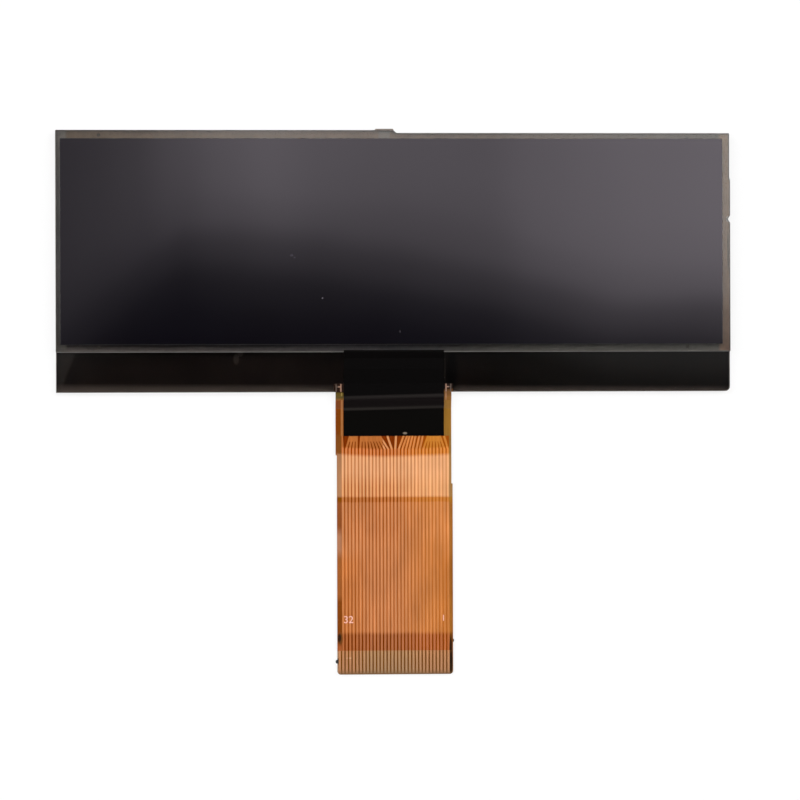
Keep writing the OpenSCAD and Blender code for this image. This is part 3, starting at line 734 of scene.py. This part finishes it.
# Painted light and shade: lightest down the right side, darker on the left.
top_side = look_up(tree, x_mm, [
    (-48, "#746353"), (-15, "#7B675A"), (5, "#836F61"), (48, "#6D6258")], *ACROSS)
left_side = look_up(tree, y_mm, [(-13, "#625D59"), (6, "#63605D"), (18.6, "#7E7671")], *UPWARD)
right_side = look_up(tree, y_mm, [(-13, "#866D5E"), (0, "#927661"), (18.6, "#A1846B")], *UPWARD)
outer_foot = look_up(tree, x_mm, [
    (-48, "#6C6361"), (0, "#4E4B4D"), (20, "#5D5A56"), (48, "#66635E")], *ACROSS)
# Painted shade along the foot, darkest next to the front polariser's edge.
inner_foot = look_up(tree, x_mm, [
    (-48, "#2A2625"), (0, "#2B2A2E"), (20, "#4D4A46"), (48, "#54524E")], *ACROSS)
foot_side = lay_over(tree, inner_foot, outer_foot, y_mm, *FOOT_OUTWARD)
tone = lay_over(tree, foot_side, top_side, y_mm, *HALF_WAY)
tone = lay_over(tree, tone, left_side, x_mm, 0.2 - CORNER_X, -0.2 - CORNER_X)
tone = lay_over(tree, tone, right_side, x_mm, CORNER_X - 0.2, CORNER_X + 0.2)
tone = grained(tree, in_mm, tone, width=0.6, depth=0.1, detail=3.0)
tone = spotted(tree, in_mm, tone, "#3C3633", [(47.74, 1.4, 0.11, 3.8)])
tone = spotted(tree, in_mm, tone, "#F8F6F2", [(47.85, CHIP_Y, 0.4, 0.5)])
fill(surface, {"Base Color": tone, "Roughness": 0.6, "Specular IOR Level": 0.0})
dress("perimeter_seal", seal)

# %% [markdown]
# ## The pieces inside and behind
# The rest lies inside, under the tape or on the back. Each still has its own finish: a satin film on
# the back, the dark liquid layer, silver paste, ground silicon, straw-coloured bonding film, rolled
# copper, brown glue and the thick amber stiffener.

# %% Inner and rear finishes
finishes = {
    "rear_polariser": mottled("rear_polariser_film", "#24221F", "#2E2B28", patch_mm=12, roughness=0.22,
                              IOR=1.49),
    "liquid_crystal": mottled("liquid_crystal_layer", "#141318", "#1B1A20", patch_mm=10, roughness=0.2),
    "transfer_dots": mottled("silver_paste_dots", "#47423E", "#524C47", patch_mm=0.3, roughness=0.5,
                             **{"Specular IOR Level": 0.0}),
    "driver_chip": mottled("ground_silicon", "#2C2C30", "#3A3A3F", patch_mm=0.8, roughness=0.3),
    "chip_bond": mottled("chip_bonding_film", "#6A5B3E", "#7A6B4C", patch_mm=0.6, roughness=0.4),
    "tail_bond": mottled("tail_bonding_film", "#4E4026", "#5E4E32", patch_mm=0.6, roughness=0.4),
    "rear_copper": mottled("rolled_copper", "#9A5E38", "#B0714A", patch_mm=0.5, roughness=0.4, Metallic=0.6),
    "stiffener_glue": mottled("thermoset_glue_sheet", "#5E3414", "#6E4020", patch_mm=2, roughness=0.6),
    "stiffener": mottled("thick_polyimide_stiffener", "#7A4A18", "#8A5824", patch_mm=4, roughness=0.25,
                         bump_mm=0.01, grain_mm=0.5, IOR=1.5),
}
for node, material in finishes.items():
    dress(node, material)

# %% [markdown]
# ## The contact numbers
# The first and last contacts are numbered in white ink on the coverlay. Text starts as a curve
# object. It is turned into a mesh first, its doubled points are merged, and only then is it moved,
# scaled and laid down in its place, so that the object itself stays at the origin.


# %% Print the numbers
INK_Z, INK_HALF = RIDGE_Z + 0.0005, 0.001
BOLDER, SAME_POINT = 0.005, 0.0001
ink = mottled("white_legend_ink", "#E2A898", "#EDB8A8", patch_mm=0.5, roughness=0.5)


def print_number(words, left, low, height):
    """A number in ink, given its lower left corner and its height in mm."""
    curve = bpy.data.curves.new("number", "FONT")
    curve.body = words
    curve.offset = BOLDER
    curve.extrude = INK_HALF
    source = bpy.data.objects.new("number", curve)
    bpy.context.collection.objects.link(source)
    mesh = source.to_mesh()
    bm = bmesh.new()
    bm.from_mesh(mesh)
    source.to_mesh_clear()
    bpy.data.objects.remove(source)
    bmesh.ops.remove_doubles(bm, verts=bm.verts, dist=SAME_POINT)
    size = max(v.co.y for v in bm.verts) - min(v.co.y for v in bm.verts)
    bmesh.ops.scale(bm, vec=(height / size, height / size, 1.0), verts=bm.verts)
    x0, y0 = min(v.co.x for v in bm.verts), min(v.co.y for v in bm.verts)
    bmesh.ops.translate(bm, vec=(left - x0, low - y0, INK_Z + INK_HALF), verts=bm.verts)
    finish_piece(bm, "contact_number_" + words, [], [ink])


print_number("32", left=-7.28, low=-51.48, height=1.02)
print_number("1", left=6.82, low=-51.2, height=0.82)

# %% [markdown]
# ## Dark specks
# Two dark specks lie at the contact end's side edges. Each is a small sphere, squashed as flat as
# the film and drawn out along the edge.

# %% Leave the specks
edge_speck_finish = mottled("dark_edge_speck", "#0E0A08", "#1C130C", patch_mm=0.2, roughness=0.5)


def leave_speck(name, middle, half_sizes):
    """A flat dark speck at the film's edge, given its middle and half its three sizes in mm."""
    bm = bmesh.new()
    bmesh.ops.create_icosphere(bm, subdivisions=3, radius=1)
    bmesh.ops.scale(bm, vec=half_sizes, verts=bm.verts)
    bmesh.ops.translate(bm, vec=middle, verts=bm.verts)
    finish_piece(bm, name, [], [edge_speck_finish])


leave_speck("left_edge_speck", middle=(-8.3, -56.95, 0.34), half_sizes=(0.2, 0.26, 0.03))
leave_speck("right_edge_speck", middle=(8.27, -54.0, 0.34), half_sizes=(0.12, 0.22, 0.03))

# %% [markdown]
# ## The floor
# The module lies on a white floor. A Light Path node makes the floor glow where the camera sees it,
# also in a gloss or through glass. It stays white there, and the glow lights nothing.

# %% Floor
FLOOR_GLOW, FLOOR_Z = 0.8, -0.02 * MM
floor_material, tree, surface, _ = new_material("pale_studio_floor")
fill(surface, {"Base Color": "#F7F7F7", "Roughness": 0.9})
path = tree.nodes.new("ShaderNodeLightPath")
seen = path.outputs["Is Camera Ray"]
for ray in ("Is Glossy Ray", "Is Transmission Ray"):
    seen = add_node(tree, "ShaderNodeMath", {0: seen, 1: path.outputs[ray]}, operation="MAXIMUM")
share = add_node(tree, "ShaderNodeMath", {0: seen, 1: FLOOR_GLOW}, operation="MULTIPLY")
glow = add_node(tree, "ShaderNodeEmission", {"Color": "#FFFFFF", "Strength": 1.0})
mixed = add_node(tree, "ShaderNodeMixShader", {0: share, 1: surface.outputs[0], 2: glow})
fill(tree.nodes["Material Output"], {"Surface": mixed})

ground = bmesh.new()
bmesh.ops.create_grid(ground, x_segments=1, y_segments=1, size=2)
bmesh.ops.translate(ground, vec=(0, 0, FLOOR_Z), verts=ground.verts)
mesh = bpy.data.meshes.new("floor")
ground.to_mesh(mesh)
ground.free()
mesh.materials.append(floor_material)
floor = bpy.data.objects.new("floor", mesh)
bpy.context.collection.objects.link(floor)
print("floor at", round(FLOOR_Z / MM, 3), "mm")

# %% [markdown]
# ## Light
# One large soft lamp lights the object from the upper left, and the sky does the rest. The screen
# is a dark mirror, so what it reflects is as much its look as its own colour: the edge of a broad
# bright panel above its top, which fades towards the middle, is dimmer on the left and brightest
# on the right. The sky is drawn by direction. A ramp by X, out to SIDE on either side, gives the
# height of the panel's lower edge, which is domed like the dark thing that hides it, and another
# one its uneven brightness. The other half of the sky is dim, but for a narrow band and a glow
# near the horizon.

# %% Lamp
AIM = Vector((0, -15, 0)) * MM
lamp = bpy.data.lights.new("softbox", "AREA")
lamp.shape = "SQUARE"
lamp.size = 0.6
lamp.energy = 1.2
softbox = bpy.data.objects.new("softbox", lamp)
bpy.context.collection.objects.link(softbox)
softbox.location = (-0.35, 0.55, 0.7)
softbox.rotation_euler = (AIM - softbox.location).to_track_quat("-Z", "Y").to_euler()
softbox.visible_glossy = False
print("softbox", lamp.size, "m wide,", lamp.energy, "W")

# %% Studio sky
BRIGHT, LOW_GLOW = 3.35, 0.6
SIDE = 0.3
world = bpy.data.worlds.new("studio")
world.use_nodes = True
bpy.context.scene.world = world
tree = world.node_tree
way = add_node(tree, "ShaderNodeTexCoord", {}, output="Generated")
way_x, way_y, way_z = add_node(tree, "ShaderNodeSeparateXYZ", {0: way}).node.outputs
sill = look_up(tree, way_x, [
    (-0.046, 0.017), (-0.03, 0.031), (-0.012, 0.046), (0.01, 0.0445), (0.05, 0.042), (0.08, 0.035),
    (0.11, 0.026), (0.145, 0.025)], -SIDE, SIDE)
lean = add_node(tree, "ShaderNodeMath", {0: way_y, 1: sill}, operation="SUBTRACT")
edge = look_up(tree, lean, [
    (-0.035, 0.003), (-0.02, 0.036), (-0.01, 0.095), (0.0, 0.31), (0.01, 0.69), (0.02, 0.89), (0.03, 0.96),
    (0.045, 0.98), (0.06, 1.0)], -0.05, 0.1, "EASE")
reach = look_up(tree, lean, [(-1.0, 1.0), (0.42, 1.0), (0.55, 0.1), (1.0, 0.1)], -1.0, 1.0, "EASE")
sides = look_up(tree, way_x, [
    (-0.22, 1.0), (-0.12, 0.3), (-0.046, 0.2), (-0.036, 0.245), (-0.024, 0.32), (-0.012, 0.51), (0.0, 0.67),
    (0.015, 0.785), (0.03, 0.68), (0.045, 0.65), (0.075, 0.63), (0.09, 0.77), (0.105, 0.85), (0.12, 0.93),
    (0.145, 1.0)], -SIDE, SIDE, "EASE")
back = look_up(tree, lean, [
    (-1.0, 1.6), (-0.9, 0.5), (-0.5, 0.06), (-0.42, 0.1), (-0.33, 0.95), (-0.24, 0.03), (1.0, 0.03)],
    -1.0, 1.0, "EASE")
low_sky = add_node(tree, "ShaderNodeMapRange", {0: way_z, 1: 0.2, 2: 0.4, 3: LOW_GLOW, 4: 0.0},
                   interpolation_type="SMOOTHSTEP")
sky = edge
for factor in (reach, sides, BRIGHT):
    sky = add_node(tree, "ShaderNodeMath", {0: sky, 1: factor}, operation="MULTIPLY")
for other in (back, low_sky):
    sky = add_node(tree, "ShaderNodeMath", {0: sky, 1: other}, operation="MAXIMUM")
fill(tree.nodes["Background"], {"Color": "#FFFFFF", "Strength": sky})
print("sky: panel edge above a sill of 0.017 to 0.046, brightest", BRIGHT)

# %% Finish
bpy.context.scene.view_settings.view_transform = "Standard"
